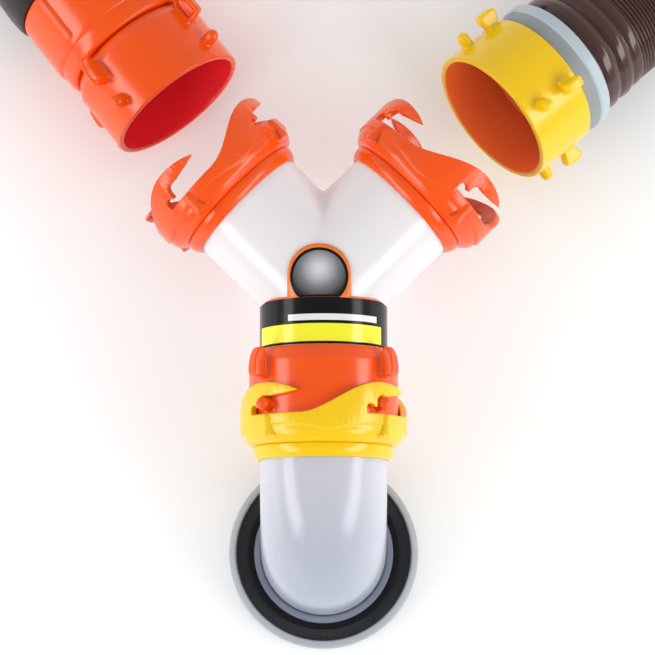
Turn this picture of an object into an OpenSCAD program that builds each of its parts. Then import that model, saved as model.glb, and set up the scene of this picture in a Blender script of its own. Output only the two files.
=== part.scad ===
// Sewer hose kit for a travel trailer: a swivelling wye with two bayonet collars, a clear
// elbow on a ring adapter, and two hoses whose lug ends face the two arms of the wye.
// Origin: centre of the ring adapter on the ground. +Z is up and the wye's leg runs along +Y.

/* [Bayonet connection] */
// Outside diameter of a lug fitting's barrel
barrel_d = 95; // [94:0.5:96]
// Wall of a lug fitting's barrel
barrel_wall = 3.9; // [3:0.1:4]
// Diameter of a lug pin
pin_d = 8.4; // [7:0.1:8.6]
// Distance from the mouth of a lug fitting to its pins
pin_setback = 13; // [12:0.5:14]
// Outside diameter of a bayonet collar
collar_d = 106; // [105:0.5:108]
// Height of a collar's claws above its front edge
claw_h = 19.5; // [18:0.5:21]
// Width across the wing tabs of a lug fitting
wing_span = 118; // [114:1:120]

/* [Tubes] */
// Outside diameter of the translucent tubes
tube_d = 80.6; // [80:0.1:81]
// Wall of the translucent tubes
tube_wall = 3; // [2:0.5:3.5]
// Bend radius of the elbow's centreline
bend_r = 50; // [48:1:52]

/* [Wye] */
// Height of the leg's centreline above the ground
axis_z = 91; // [88:1:94]
// Distance from the elbow's outlet axis to the front edge of the elbow's collar
elbow_collar_y = 82.5; // [80:0.5:84]
// Distance from the elbow's outlet axis to the point where the arms meet
junction_y = 171; // [168:1:175]
// Distance from that point to the front edge of each arm's collar
arm_collar = 95.6; // [94:0.5:100]
// Angle of each arm from the leg
arm_angle = 45; // [44:1:46]

/* [Ring adapter] */
// Outside diameter of the ring adapter
adapter_d = 124; // [122:1:128]
// Height of the ring adapter
adapter_h = 34; // [32:1:35]

/* [Hoses] */
// Outside diameter of the black hose
black_hose_d = 86; // [84:0.5:86]
// Outside diameter of the brown hose
brown_hose_d = 83; // [82:0.5:83]

/* [Hidden] */
$fn = 96;

orange = "#F15A22";
yellow = "#FFCD14";
milk = "#E6E1E6";
black = "#2A2A2C";
brown = "#5A463F";
grey = "#9AA6AA";
slate = "#7D8796";

// Radii that the mating parts share
barrel_r = barrel_d / 2;
barrel_bore = barrel_r - barrel_wall;
collar_r = collar_d / 2;
socket_r = barrel_r + 0.7;
seal_pocket_r = socket_r - 1.3;
tube_r = tube_d / 2;
tube_bore = tube_r - tube_wall;
run_gap = 0.3;
neck_bore = tube_r + run_gap;
flange_pocket_r = tube_r + 2;
wing_r = wing_span / 2;

// Stations of a collar along its own axis, from its front edge
web_back = -18.5;
web_front = -14.5;
flange_back = web_front + run_gap;
flange_front = flange_back + 3;
seal_front = flange_front + 3;
band_front = -19.2;
band_back = -27;
mate_depth = 7;
socket_back = -7.2;
relief = 0.6;

// Stations of a lug fitting along its own axis, back from its mouth
wing_front = 30.4;
shoulder_front = 42;
neck_back = 50;
neck_step = 46.5;
lug_seal_back = 46.2;
lug_seal_front = 43.2;
lug_flange_back = 43;
lug_flange_front = 39.5;
bore_back = 38.4;
bore_step = 39.2;

// Place of the wye's own lug fitting
wye_mouth_y = elbow_collar_y - mate_depth;

// Mouth centre, heading in plan and downward slope of each hose end
left_mouth = [-95, 291, 67];
left_heading = 127.8;
left_slope = 6.4;
left_phase = 45 - 51.7;
right_mouth = [109, 280, 77];
right_heading = 40.8;
right_slope = 13.6;
right_phase = 45 - 23.8;

// Stations of the left hose's end pieces, back from its mouth
left_cuff_front = 51;
left_cuff_back = 105;
left_sleeve_back = 150;
// Stations of the right hose's end pieces, back from its mouth
hub_front = 50.6;
cup_front = 45.1;
cup_bore = 44.1;
ring_front = 53.6;
ring_back = 62.3;
right_cuff_back = 100;

// Direction in which a hose runs away from its mouth
function run_dir(heading, slope) = [
    cos(heading) * cos(slope),
    sin(heading) * cos(slope),
    -sin(slope)
];

// Route of each hose's centreline from its cuff to its far fitting, along the ground
left_route = concat(
    [left_mouth + left_sleeve_back * run_dir(left_heading, left_slope)],
    [
        [-199, 425, 48], [-213, 443, 45.5], [-226, 459, 44], [-238, 475, 43.3],
        [-252, 494, 43.2], [-265, 515, 43.2], [-276, 536, 43.2], [-286, 559, 43.2],
        [-294, 582, 43.2], [-301, 606, 43.2], [-306, 630, 43.2], [-309, 655, 43.2],
        [-311, 690, 43.2], [-311, 725, 43.2], [-311, 760, 43.2], [-311, 785, 44.1],
        [-311, 810, 46.5], [-311, 827, 49], [-311, 844, 51.6], [-311, 869, 54.1],
        [-311, 894, 55], [-311, 920, 55],
    ]
);
right_route = concat(
    [right_mouth + right_cuff_back * run_dir(right_heading, right_slope)],
    [
        [199, 358, 48.8], [216, 372, 45], [233, 387, 42.7], [251, 402, 41.8],
        [266, 416, 41.8], [281, 432, 41.8], [295, 449, 41.8], [308, 466, 41.8],
        [320, 484, 41.8], [331, 503, 41.8], [341, 522, 41.8], [349, 542, 41.8],
        [361, 582, 41.8], [369, 624, 41.8], [372, 667, 41.8], [372, 680, 41.8],
        [372, 700, 42.7], [372, 725, 45.2], [372, 746, 48.4], [372, 766, 51.6],
        [372, 791, 54.1], [372, 816, 55], [372, 830, 55],
    ]
);
tail_z = 55;
left_tail = [-311, 920, tail_z];
right_tail = [372, 830, tail_z];
tail_collar = 59;

// ---------- frames ----------

// Local +Z becomes +Y, and local -Y becomes the top
module along_y(y) {
    translate([0, y, axis_z])
        rotate([-90, 0, 0])
            children();
}

// Local +Z runs out along an arm; side is -1 for the left arm and 1 for the right one
module along_arm(side, distance) {
    translate([0, junction_y, axis_z])
        rotate([0, 0, -side * arm_angle])
            rotate([-90, 0, 0])
                translate([0, 0, distance])
                    children();
}

// Local +Z comes out of a hose's mouth
module at_mouth(mouth, heading, slope) {
    translate(mouth)
        rotate([0, 0, heading - 90])
            rotate([-slope, 0, 0])
                rotate([90, 0, 0])
                    children();
}

// Local +Z runs out of a hose's far end, with z = 0 at the end of the hose
module at_tail(tail) {
    translate(tail)
        rotate([-90, 0, 0])
            children();
}

// ---------- shared pieces ----------

// Tube with its wall from r_in to r_out, between two heights
module ring(r_in, r_out, z0, z1) {
    translate([0, 0, z0])
        difference() {
            cylinder(r = r_out, h = z1 - z0);
            translate([0, 0, -1])
                cylinder(r = r_in, h = z1 - z0 + 2);
        }
}

// Claws: outline in degrees round the collar and in mm above its front edge
claw_root = -14;
claw_peak = 43.5;
claw_tip = 71;
slot_end = 31;
pocket_at = 45;
pocket_z = 6;
pocket_r = 5;
finger_low = 10.7;
finger_root = 50.4;
claw_embed = -4;
deg_mm = (collar_r - 2.5) * PI / 180;

// Height of the claw's upper edge at angle q
function claw_top(q) =
    q < claw_peak
    ? claw_h * (1 - cos(180 * pow(max(0, q - claw_root) / (claw_peak - claw_root), 0.85))) / 2
    : claw_h - 0.0066 * pow(q - claw_peak, 2);

// Height of the claw's lower edge: root, relief slot, tooth, pin pocket, then the finger
function claw_low(q) =
    q < slot_end ? claw_embed
    : q < 37.5 ? 3.2 + sqrt(max(0, 5 - pow((q - 34.2) * deg_mm * 0.75, 2)))
    : q < 39.6 ? 3.6
    : q < pocket_at + 0.3
    ? pocket_z + sqrt(max(0, pow(pocket_r, 2) - pow((q - pocket_at) * deg_mm, 2)))
    : finger_low + max(0, q - finger_root) * 0.11;

claw_steps = concat(
    [for (i = [0:8]) claw_root + i * 4.9],
    [slot_end - 0.4, slot_end + 0.1, 32.5, 34, 35.5, 37, 38, 39.5],
    [for (i = [0:6]) 39.9 + i * 1.75],
    [for (i = [0:5]) 53 + i * 3],
    [69.7, claw_tip]
);

// One claw as a curved plate whose columns follow claw_top and claw_low
module claw() {
    r_in = socket_r + 0.3;
    r_out = collar_r - 0.3;
    count = len(claw_steps);
    top_at = [for (q = claw_steps) q > 70 ? claw_top(q) - 0.6 : claw_top(q)];
    low_at = [for (q = claw_steps) q > 70 ? claw_low(q) + 0.3 : min(claw_low(q), claw_top(q) - 0.5)];
    points = [
        for (i = [0:count - 1])
            for (k = [0:3])
                let (
                    q = claw_steps[i],
                    r = (k == 0 || k == 3) ? r_in : r_out,
                    z = k < 2 ? low_at[i] : max(top_at[i], claw_embed + 1)
                )
                [r * cos(q), r * sin(q), z]
    ];
    sides = [
        for (i = [0:count - 2])
            for (k = [0:3])
                let (
                    a = 4 * i + k,
                    b = 4 * i + (k + 1) % 4,
                    c = 4 * (i + 1) + (k + 1) % 4,
                    d = 4 * (i + 1) + k
                )
                each [[a, b, c], [a, c, d]]
    ];
    last = 4 * (count - 1);
    ends = [[0, 2, 1], [0, 3, 2], [last, last + 1, last + 2], [last, last + 2, last + 3]];
    polyhedron(points = points, faces = concat(sides, ends), convexity = 6);
}

rib_r = 3.2;
rib_foot = 10;

// Raised thumb rib under each claw, with a wider foot
module thumb_rib() {
    rotate([0, 0, 48])
        translate([collar_r - 0.9, 0, 0]) {
            translate([0, 0, -14.5])
                cylinder(r = rib_r, h = 12, $fn = 24);
            translate([0, 0, -2.6])
                sphere(r = rib_r - 0.2, $fn = 24);
            translate([-2.6, -rib_foot / 2, -15.5])
                cube([4.4, rib_foot, 3]);
        }
}

// Bayonet collar: z = 0 at the front edge, claws above it
module collar() {
    rotate_extrude()
        polygon([
            [tube_r + 0.5, web_back], [44.3, web_back], [49.2, -15.6], [51.6, -13],
            [collar_r, -9], [collar_r, -1], [collar_r - 1, 0], [socket_r + 0.6, 0],
            [socket_r, -0.6], [socket_r, socket_back], [socket_r + relief, socket_back],
            [socket_r + relief, socket_back - relief], [seal_pocket_r, socket_back - relief],
            [seal_pocket_r, web_front], [tube_r + 0.5, web_front]
        ]);
    for (k = [0:3])
        rotate([0, 0, 90 * k]) {
            claw();
            thumb_rib();
        }
}

// Band behind a collar that holds it on its tube
module retainer() {
    rotate_extrude()
        polygon([
            [tube_r + 0.05, band_back], [41.6, band_back], [43.8, -24.4], [44.9, -21.6],
            [44.7, -19.8], [44.1, band_front], [tube_r + 0.05, band_front]
        ]);
}

// Face seal in front of a tube's flange
module face_seal() {
    ring(tube_bore + 2, seal_pocket_r - 0.8, flange_front + 0.05, seal_front - 0.4);
}

// Flanged end of a tube inside a collar, reaching back to z = back
module collar_tube(back) {
    rotate_extrude()
        polygon([
            [tube_bore, back], [tube_r, back], [tube_r, flange_back],
            [seal_pocket_r - run_gap, flange_back], [seal_pocket_r - run_gap, flange_front],
            [tube_bore, flange_front]
        ]);
}

// Flanged end of a tube inside a lug fitting: z = 0 is the mouth, and it reaches back to z = -back
module lug_tube(back) {
    rotate_extrude()
        polygon([
            [tube_bore, -back], [tube_r, -back], [tube_r, -lug_flange_back],
            [flange_pocket_r - run_gap, -lug_flange_back],
            [flange_pocket_r - run_gap, -lug_flange_front],
            [tube_bore, -lug_flange_front]
        ]);
}

// Ring seal between a tube's flange and a lug fitting's neck
module lug_seal() {
    ring(tube_r + 0.05, flange_pocket_r - run_gap, -lug_seal_back, -lug_seal_front);
}

// Side outline of a wing tab in distance back from the mouth and radius
module wing_outline(fan) {
    if (fan)
        polygon([
            [-31, 46], [-29.4, 50], [-27, 56], [-27.4, wing_r - 1], [-29, wing_r],
            [-35, wing_r + 0.4], [-41, wing_r], [-42.8, wing_r - 1.2], [-42.4, 56],
            [-39.6, 50], [-38.4, 46]
        ]);
    else
        polygon([
            [-wing_front, 46], [-wing_front, 57.2], [-31.6, wing_r - 0.4], [-33.5, wing_r],
            [-39, wing_r - 0.4], [-44, 57.4], [-48, 55], [-49.4, 52.8], [-48.4, 51.2],
            [-42.4, 46]
        ]);
}

// Wing tab in the plane of the fitting's axis
module wing(fan, thickness) {
    rotate([90, 0, 0])
        translate([0, 0, -thickness / 2])
            linear_extrude(height = thickness)
                rotate([0, 0, 90])
                    mirror([0, 1])
                        wing_outline(fan);
}

// Lug pin with a domed end, standing out of the barrel
module lug_pin() {
    translate([0, 0, -pin_setback])
        rotate([0, 90, 0]) {
            translate([0, 0, barrel_r - 2])
                cylinder(r = pin_d / 2, h = 7.8, $fn = 32);
            translate([0, 0, barrel_r + 5.8])
                sphere(r = pin_d / 2, $fn = 32);
        }
}

// Outside of a lug fitting behind its barrel: a long taper, or a step down to a neck that
// the grey ring's cup covers
function shoulder(stepped) = stepped
    ? [[43.7, -neck_back], [43.7, -44.6], [46.8, -44.2], [barrel_r, -43.2]]
    : [[42.8, -neck_back], [43.8, -49.2], [46.4, -44], [barrel_r, -shoulder_front]];

// Lug fitting: z = 0 at the mouth, body below it, pins at 45 degrees, and wings that
// stand that much further from the local X axis than the pins
module lug_fitting(fan, thickness, lean = 0) {
    rotate_extrude()
        polygon(concat([[neck_bore, -neck_back]], shoulder(fan), [
            [barrel_r, -1.2], [barrel_r - 1, 0],
            [barrel_bore + 0.8, 0], [barrel_bore, -1], [barrel_bore, -bore_back],
            [barrel_bore + relief, -bore_back], [barrel_bore + relief, -bore_step],
            [flange_pocket_r, -bore_step], [flange_pocket_r, -neck_step],
            [neck_bore, -neck_step]
        ]));
    for (k = [0:3])
        rotate([0, 0, 45 + 90 * k]) {
            lug_pin();
            rotate([0, 0, k % 2 == 0 ? lean : -lean])
                wing(fan, thickness);
        }
}

function unit(v) = v / norm(v);

// Direction of a route at its point i
function route_tangent(path, i) =
    unit(path[min(i + 1, len(path) - 1)] - path[max(i - 1, 0)]);

// Tube through a route's points, with one ring of corners at each point
module hose(path, r, first_dir) {
    sides = 12;
    count = len(path);
    points = [
        for (i = [0:count - 1])
            let (
                t = i == 0 ? first_dir : i == count - 1 ? [0, 1, 0] : route_tangent(path, i),
                flat = unit(cross(t, [0, 0, 1])),
                upright = cross(flat, t)
            )
            for (k = [0:sides - 1])
                path[i] + r * (flat * cos(360 * k / sides) + upright * sin(360 * k / sides))
    ];
    walls = [
        for (i = [0:count - 2])
            for (k = [0:sides - 1])
                let (
                    a = sides * i + k,
                    b = sides * i + (k + 1) % sides,
                    c = sides * (i + 1) + (k + 1) % sides,
                    d = sides * (i + 1) + k
                )
                each [[a, b, c], [a, c, d]]
    ];
    ends = [
        [for (k = [sides - 1:-1:0]) k],
        [for (k = [0:sides - 1]) sides * (count - 1) + k]
    ];
    polyhedron(points = points, faces = concat(ends, walls), convexity = 8);
}

// ---------- elbow and adapter ----------

elbow_bottom = 21.8;

// Quarter bend of clear tube from the ring adapter up to the collar
module elbow_body() {
    color(milk, 0.6) {
        // Flanged foot and the straight part above it
        rotate_extrude()
            polygon([
                [tube_bore, elbow_bottom], [45.4, elbow_bottom], [45.4, elbow_bottom + 3.6],
                [tube_r, elbow_bottom + 3.6], [tube_r, axis_z - bend_r],
                [tube_bore, axis_z - bend_r]
            ]);
        // Quarter bend
        translate([0, bend_r, axis_z - bend_r])
            rotate([90, 0, 90])
                rotate([0, 0, 90])
                    rotate_extrude(angle = 90)
                        translate([bend_r, 0])
                            difference() {
                                circle(r = tube_r);
                                circle(r = tube_bore);
                            }
        // Level end with its flange in the collar
        along_y(elbow_collar_y)
            collar_tube(bend_r - elbow_collar_y);
    }
}

module elbow_retainer() {
    color(yellow)
        along_y(elbow_collar_y)
            retainer();
}

module elbow_seal() {
    color(black)
        along_y(elbow_collar_y)
            face_seal();
}

module elbow_collar() {
    color(yellow)
        along_y(elbow_collar_y)
            rotate([0, 0, -90])
                collar();
}

spigot_bore = 38;
spigot_top = 18.4;
channel_floor = 26;
boss_count = 10;

// Ribbed spigot below, and an open channel with ejector bosses round the elbow's foot
module adapter_body() {
    color(black) {
        rotate_extrude()
            polygon([
                [spigot_bore, 0], [44, 0], [46.5, 4], [49.4, 4], [50.6, 6], [49.4, 8],
                [49.4, 9], [50.6, 11], [49.4, 13], [49.4, 14], [50.6, 16], [49.4, 18],
                [49.4, channel_floor - 4], [56.9, channel_floor - 4],
                [56.9, adapter_h - 2.6], [56.2, adapter_h - 2.6],
                [56.2, channel_floor], [49.5, channel_floor], [49.5, adapter_h - 3],
                [46.1, adapter_h - 3], [46.1, spigot_top], [spigot_bore, spigot_top]
            ]);
        for (k = [0:boss_count - 1])
            rotate([0, 0, (k + 0.5) * 360 / boss_count])
                translate([52.9, 0, channel_floor - 0.5])
                    cylinder(r = 1.9, h = 1.3, $fn = 24);
    }
}

// Soft rim round the channel that seals on a flat inlet
module adapter_gasket() {
    r_out = adapter_d / 2;
    color(grey)
        rotate_extrude()
            polygon([
                [57, 0], [r_out - 1.5, 0], [r_out, 2], [r_out, adapter_h - 6],
                [r_out - 0.8, adapter_h - 2.6], [r_out - 2.6, adapter_h - 0.6],
                [r_out - 4.2, adapter_h], [57.4, adapter_h - 0.6], [57, adapter_h - 2]
            ]);
}

// Ring over the elbow's foot that lets the adapter turn on it
module adapter_lock_ring() {
    color(slate)
        rotate_extrude()
            polygon([
                [tube_r + 0.4, 25.7], [46, 25.7], [46, 29.6], [45.2, 30.4], [42, 30.4],
                [tube_r + 0.4, 29.4]
            ]);
}

module adapter_seal() {
    color(black)
        ring(40, 45.4, 18.5, 21.4);
}

// ---------- wye ----------

module wye_lug_fitting() {
    color(orange)
        along_y(wye_mouth_y)
            mirror([0, 0, 1])
                lug_fitting(false, 7, 5);
}

// Ends of the three tubes of the wye
leg_end_y = wye_mouth_y + lug_flange_front;
arm_end = arm_collar + flange_front;

// The three tubes of the wye with the given radius, over the given extra length
module wye_tubes(r, over) {
    along_y(leg_end_y - over)
        cylinder(r = r, h = junction_y - leg_end_y + over);
    for (side = [-1, 1])
        along_arm(side, 0)
            cylinder(r = r, h = arm_end + over);
    translate([0, junction_y, axis_z])
        sphere(r = r);
}

module wye_body() {
    color(milk, 0.6)
        difference() {
            union() {
                wye_tubes(tube_r, 0);
                along_y(wye_mouth_y)
                    translate([0, 0, lug_flange_front])
                        cylinder(
                            r = flange_pocket_r - run_gap,
                            h = lug_flange_back - lug_flange_front
                        );
                for (side = [-1, 1])
                    along_arm(side, arm_collar + flange_back)
                        cylinder(r = seal_pocket_r - run_gap, h = flange_front - flange_back);
            }
            wye_tubes(tube_bore, 1);
        }
}

module wye_lug_seal() {
    color(black)
        along_y(wye_mouth_y)
            mirror([0, 0, 1])
                lug_seal();
}

// Printed film: a band round the leg and a round badge where the arms meet
label_front = 126;
label_back = 156;
badge_at = [-2, 169];
badge_r = 20;
module wye_label() {
    color(black)
        difference() {
            union() {
                along_y(label_front)
                    cylinder(r = tube_r + 0.7, h = label_back - label_front);
                intersection() {
                    translate([badge_at[0], badge_at[1], axis_z])
                        cylinder(r = badge_r, h = 60);
                    wye_tubes(tube_r + 0.7, 0);
                }
            }
            wye_tubes(tube_r + 0.05, 0);
            wye_tubes(tube_bore, 30);
        }
}

// Angle to which each arm's collar is turned
left_arm_phase = -79;
right_arm_phase = -96;

module arm_collar_at(side, phase) {
    color(orange)
        along_arm(side, arm_collar)
            rotate([0, 0, phase])
                collar();
}

module arm_retainer(side) {
    color(orange)
        along_arm(side, arm_collar)
            retainer();
}

module arm_seal(side) {
    color(black)
        along_arm(side, arm_collar)
            face_seal();
}

module left_arm_collar() { arm_collar_at(-1, left_arm_phase); }
module left_arm_retainer() { arm_retainer(-1); }
module left_arm_seal() { arm_seal(-1); }
module right_arm_collar() { arm_collar_at(1, right_arm_phase); }
module right_arm_retainer() { arm_retainer(1); }
module right_arm_seal() { arm_seal(1); }

// ---------- left hose ----------

module at_left() { at_mouth(left_mouth, left_heading, left_slope) children(); }

cuff_ribs = 4;
cuff_rib_phase = 39;
cuff_rib_r = 3.8;

// Grip cuff with the flanged tube that runs into the lug fitting
module left_hose_cuff() {
    color(orange)
        at_left() {
            lug_tube(left_cuff_front + 1);
            rotate_extrude()
                polygon([
                    [tube_bore, -60], [44.6, -62], [44.6, -left_cuff_back],
                    [48.4, -left_cuff_back], [49, -left_cuff_back + 2], [49, -66],
                    [48.2, -63.8], [47, -62.8], [46.9, -58], [46.5, -54],
                    [45.6, -left_cuff_front - 0.8], [44.4, -left_cuff_front],
                    [tube_bore, -left_cuff_front]
                ]);
            for (k = [0:cuff_ribs - 1])
                rotate([0, 0, cuff_rib_phase + k * 360 / cuff_ribs])
                    translate([47.3, 0, -left_cuff_back + 1])
                        cylinder(r = cuff_rib_r, h = 37, $fn = 32);
        }
}

// Moulded sleeve over the start of the hose
module left_hose_sleeve() {
    color(black)
        at_left()
            rotate_extrude()
                polygon([
                    [43.4, -left_sleeve_back], [47, -left_sleeve_back],
                    [49.2, -left_sleeve_back + 4], [51.2, -135], [51.8, -118], [51.4, -109],
                    [50.4, -left_cuff_back], [43.4, -left_cuff_back]
                ]);
}

module left_hose_tube() {
    color(black)
        hose(left_route, black_hose_d / 2, run_dir(left_heading, left_slope));
}

module left_lug_seal() {
    color(black)
        at_left()
            lug_seal();
}

module left_lug_fitting() {
    color(orange)
        at_left()
            rotate([0, 0, left_phase])
                lug_fitting(false, 7);
}

// ---------- right hose ----------

module at_right() { at_mouth(right_mouth, right_heading, right_slope) children(); }

// Threaded cuff with three broad ridges and the flanged tube of the lug fitting
module right_hose_cuff() {
    color(brown)
        at_right() {
            lug_tube(ring_front);
            rotate_extrude()
                polygon([
                    [tube_bore, -right_cuff_back], [brown_hose_d / 2 - 0.5, -right_cuff_back],
                    [42, -98], [42, -92], [40.2, -91], [40.2, -90], [43, -89], [43.2, -84],
                    [42.6, -79.6], [40.6, -78.8], [40.6, -78], [43.4, -77], [43.8, -71],
                    [43.2, -66.6], [41.4, -65.6], [41.4, -64.6], [43.6, -63.6],
                    [43.6, -ring_back - 0.1], [tube_r, -ring_back - 0.1],
                    [tube_r, -ring_front], [tube_bore, -ring_front]
                ]);
        }
}

module right_lock_ring() {
    color(grey)
        at_right()
            rotate_extrude()
                polygon([
                    [tube_r + 0.05, -ring_back], [46.6, -ring_back], [47.6, -ring_back + 1],
                    [47.6, -ring_front - 1.6], [46.6, -ring_front], [45.0, -cup_front],
                    [cup_bore, -cup_front], [cup_bore, -hub_front], [tube_r + 0.05, -hub_front]
                ]);
}

module right_hose_tube() {
    color(brown)
        hose(right_route, brown_hose_d / 2, run_dir(right_heading, right_slope));
}

module right_lug_seal() {
    color(black)
        at_right()
            lug_seal();
}

module right_lug_fitting() {
    color(yellow)
        at_right()
            rotate([0, 0, right_phase])
                lug_fitting(true, 7);
}

// ---------- far ends ----------

// Grip cuff with the flanged tube of the far collar
module tail_cuff(tail, tint) {
    color(tint)
        at_tail(tail) {
            translate([0, 0, tail_collar])
                collar_tube(-31);
            rotate_extrude()
                polygon([
                    [tube_bore, 0], [44.5, 0], [46, 1.5], [46, 10], [44.8, 11], [44.8, 12],
                    [46, 13], [46, 24], [43.6, 28.5], [tube_bore, 28.5]
                ]);
        }
}

module tail_piece(tail) {
    at_tail(tail)
        translate([0, 0, tail_collar])
            children();
}

module left_tail_cuff() { tail_cuff(left_tail, orange); }
module left_tail_retainer() { color(orange) tail_piece(left_tail) retainer(); }
module left_tail_seal() { color(black) tail_piece(left_tail) face_seal(); }
module left_tail_collar() { color(orange) tail_piece(left_tail) collar(); }
module right_tail_cuff() { tail_cuff(right_tail, brown); }
module right_tail_retainer() { color(yellow) tail_piece(right_tail) retainer(); }
module right_tail_seal() { color(black) tail_piece(right_tail) face_seal(); }
module right_tail_collar() { color(yellow) tail_piece(right_tail) collar(); }

elbow_body();
elbow_retainer();
elbow_seal();
adapter_body();
adapter_gasket();
adapter_lock_ring();
adapter_seal();
elbow_collar();
wye_lug_fitting();
wye_body();
wye_lug_seal();
wye_label();
left_arm_retainer();
left_arm_seal();
left_arm_collar();
right_arm_retainer();
right_arm_seal();
right_arm_collar();
left_hose_cuff();
left_hose_sleeve();
left_hose_tube();
left_lug_seal();
left_tail_cuff();
left_tail_retainer();
left_tail_seal();
left_tail_collar();
left_lug_fitting();
right_hose_cuff();
right_lock_ring();
right_hose_tube();
right_lug_seal();
right_tail_cuff();
right_tail_retainer();
right_tail_seal();
right_tail_collar();
right_lug_fitting();
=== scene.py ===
"""Sewer hose kit: a swivelling wye, a milky elbow on its ring adapter, and two hoses."""
import math

import bmesh
import bpy
import numpy as np
from mathutils import Matrix, Vector


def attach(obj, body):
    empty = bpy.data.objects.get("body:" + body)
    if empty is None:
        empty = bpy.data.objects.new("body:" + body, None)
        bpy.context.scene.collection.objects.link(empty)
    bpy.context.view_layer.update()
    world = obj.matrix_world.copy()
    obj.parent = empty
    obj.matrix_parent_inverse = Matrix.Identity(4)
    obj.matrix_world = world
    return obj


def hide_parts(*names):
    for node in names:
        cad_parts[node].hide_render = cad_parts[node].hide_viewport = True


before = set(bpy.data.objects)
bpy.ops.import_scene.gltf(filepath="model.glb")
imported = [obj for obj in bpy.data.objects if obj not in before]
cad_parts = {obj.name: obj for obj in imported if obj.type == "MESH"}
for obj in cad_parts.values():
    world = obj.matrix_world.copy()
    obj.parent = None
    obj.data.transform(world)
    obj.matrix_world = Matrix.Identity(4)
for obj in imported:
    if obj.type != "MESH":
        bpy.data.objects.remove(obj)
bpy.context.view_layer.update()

MM = 0.001

# Distances along a fitting are from its mouth or front edge
AXIS_Z = 91.0
BARREL_R = 47.5
BARREL_BORE = 43.6
COLLAR_R = 53.0
SOCKET_R = 48.2
POCKET_R = 46.9
FLANGE_R = 46.6
LUG_POCKET_R = 42.3
LUG_FLANGE_R = 42.0
TUBE_R = 40.3
TUBE_BORE = 37.3
WING_R = 59.0
PIN_SETBACK = 13.0
PIN_R = 4.2
PIN_H = 11.2
JUNCTION_Y = 171.0
ARM_COLLAR = 95.6
ARM_ANGLE = 45.0
ELBOW_COLLAR_Y = 82.5
MATE_DEPTH = 7.0
WYE_MOUTH_Y = ELBOW_COLLAR_Y - MATE_DEPTH
BEND_R = 50.0
ELBOW_BOTTOM = 21.8
TAIL_COLLAR = 59.0
TAIL_FLANGE_FRONT = 47.8
TAIL_FLANGE_BACK = 44.8
FLANGE_BACK = -14.2
FLANGE_FRONT = -11.2
LUG_FLANGE_FRONT = 39.5
LUG_FLANGE_BACK = 43.0
LUG_POCKET_FRONT = 39.2
LUG_POCKET_BACK = 46.5
LUG_BACK = 50.0
NECK_BORE = 40.6
SEAT_GAP = 0.05

LEFT_MOUTH = Vector((-95, 291, 67))
LEFT_HEADING = 127.8
LEFT_SLOPE = 6.4
LEFT_PHASE = 45 - 51.7
LEFT_CUFF_BACK = 105.0
LEFT_SLEEVE_BACK = 150.0
RIGHT_MOUTH = Vector((109, 280, 77))
RIGHT_HEADING = 40.8
RIGHT_SLOPE = 13.6
RIGHT_PHASE = 45 - 23.8
RIGHT_CUFF_BACK = 100.0
LEFT_TAIL = Vector((-311, 920, 55))
RIGHT_TAIL = Vector((372, 830, 55))
LEFT_ARM_PHASE = -79
RIGHT_ARM_PHASE = -96

# Hose routes in mm, the same points as in the CAD source
LEFT_ROUTE = [
    (-199, 425, 48), (-213, 443, 45.5), (-226, 459, 44), (-238, 475, 43.3),
    (-252, 494, 43.2), (-265, 515, 43.2), (-276, 536, 43.2), (-286, 559, 43.2),
    (-294, 582, 43.2), (-301, 606, 43.2), (-306, 630, 43.2), (-309, 655, 43.2),
    (-311, 690, 43.2), (-311, 725, 43.2), (-311, 760, 43.2), (-311, 785, 44.1),
    (-311, 810, 46.5), (-311, 827, 49), (-311, 844, 51.6), (-311, 869, 54.1),
    (-311, 894, 55), (-311, 920, 55),
]
RIGHT_ROUTE = [
    (199, 358, 48.8), (216, 372, 45), (233, 387, 42.7), (251, 402, 41.8),
    (266, 416, 41.8), (281, 432, 41.8), (295, 449, 41.8), (308, 466, 41.8),
    (320, 484, 41.8), (331, 503, 41.8), (341, 522, 41.8), (349, 542, 41.8),
    (361, 582, 41.8), (369, 624, 41.8), (372, 667, 41.8), (372, 680, 41.8),
    (372, 700, 42.7), (372, 725, 45.2), (372, 746, 48.4), (372, 766, 51.6),
    (372, 791, 54.1), (372, 816, 55), (372, 830, 55),
]


# ---------------------------------------------------------------- frames

def turn(degrees, axis):
    """Rotation by that angle about an axis through the origin."""
    return Matrix.Rotation(math.radians(degrees), 4, axis)


def run_dir(heading, slope):
    """Direction in which a hose runs away from its mouth."""
    h, s = math.radians(heading), math.radians(slope)
    return Vector((math.cos(h) * math.cos(s), math.sin(h) * math.cos(s), -math.sin(s)))


def along_y(y):
    """Local +Z becomes +Y, at that distance from the outlet axis."""
    return Matrix.Translation((0, y, AXIS_Z)) @ turn(-90, "X")


def along_arm(side, distance):
    """Local +Z runs out along an arm; side is -1 for the left arm and 1 for the right."""
    return (Matrix.Translation((0, JUNCTION_Y, AXIS_Z)) @ turn(-side * ARM_ANGLE, "Z")
            @ turn(-90, "X") @ Matrix.Translation((0, 0, distance)))


def at_mouth(mouth, heading, slope):
    """Local +Z comes out of a hose's mouth."""
    return (Matrix.Translation(mouth) @ turn(heading - 90, "Z") @ turn(-slope, "X")
            @ turn(90, "X"))


def at_tail(tail, distance=0.0):
    """Local +Z runs out of a hose's far end."""
    return Matrix.Translation(tail) @ turn(-90, "X") @ Matrix.Translation((0, 0, distance))


AT_LEFT = at_mouth(LEFT_MOUTH, LEFT_HEADING, LEFT_SLOPE)
AT_RIGHT = at_mouth(RIGHT_MOUTH, RIGHT_HEADING, RIGHT_SLOPE)


# ---------------------------------------------------------------- mesh tools

def new_object(name, mesh):
    """An object with that mesh, in the scene."""
    obj = bpy.data.objects.new(name, mesh)
    bpy.context.scene.collection.objects.link(obj)
    return obj


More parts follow.
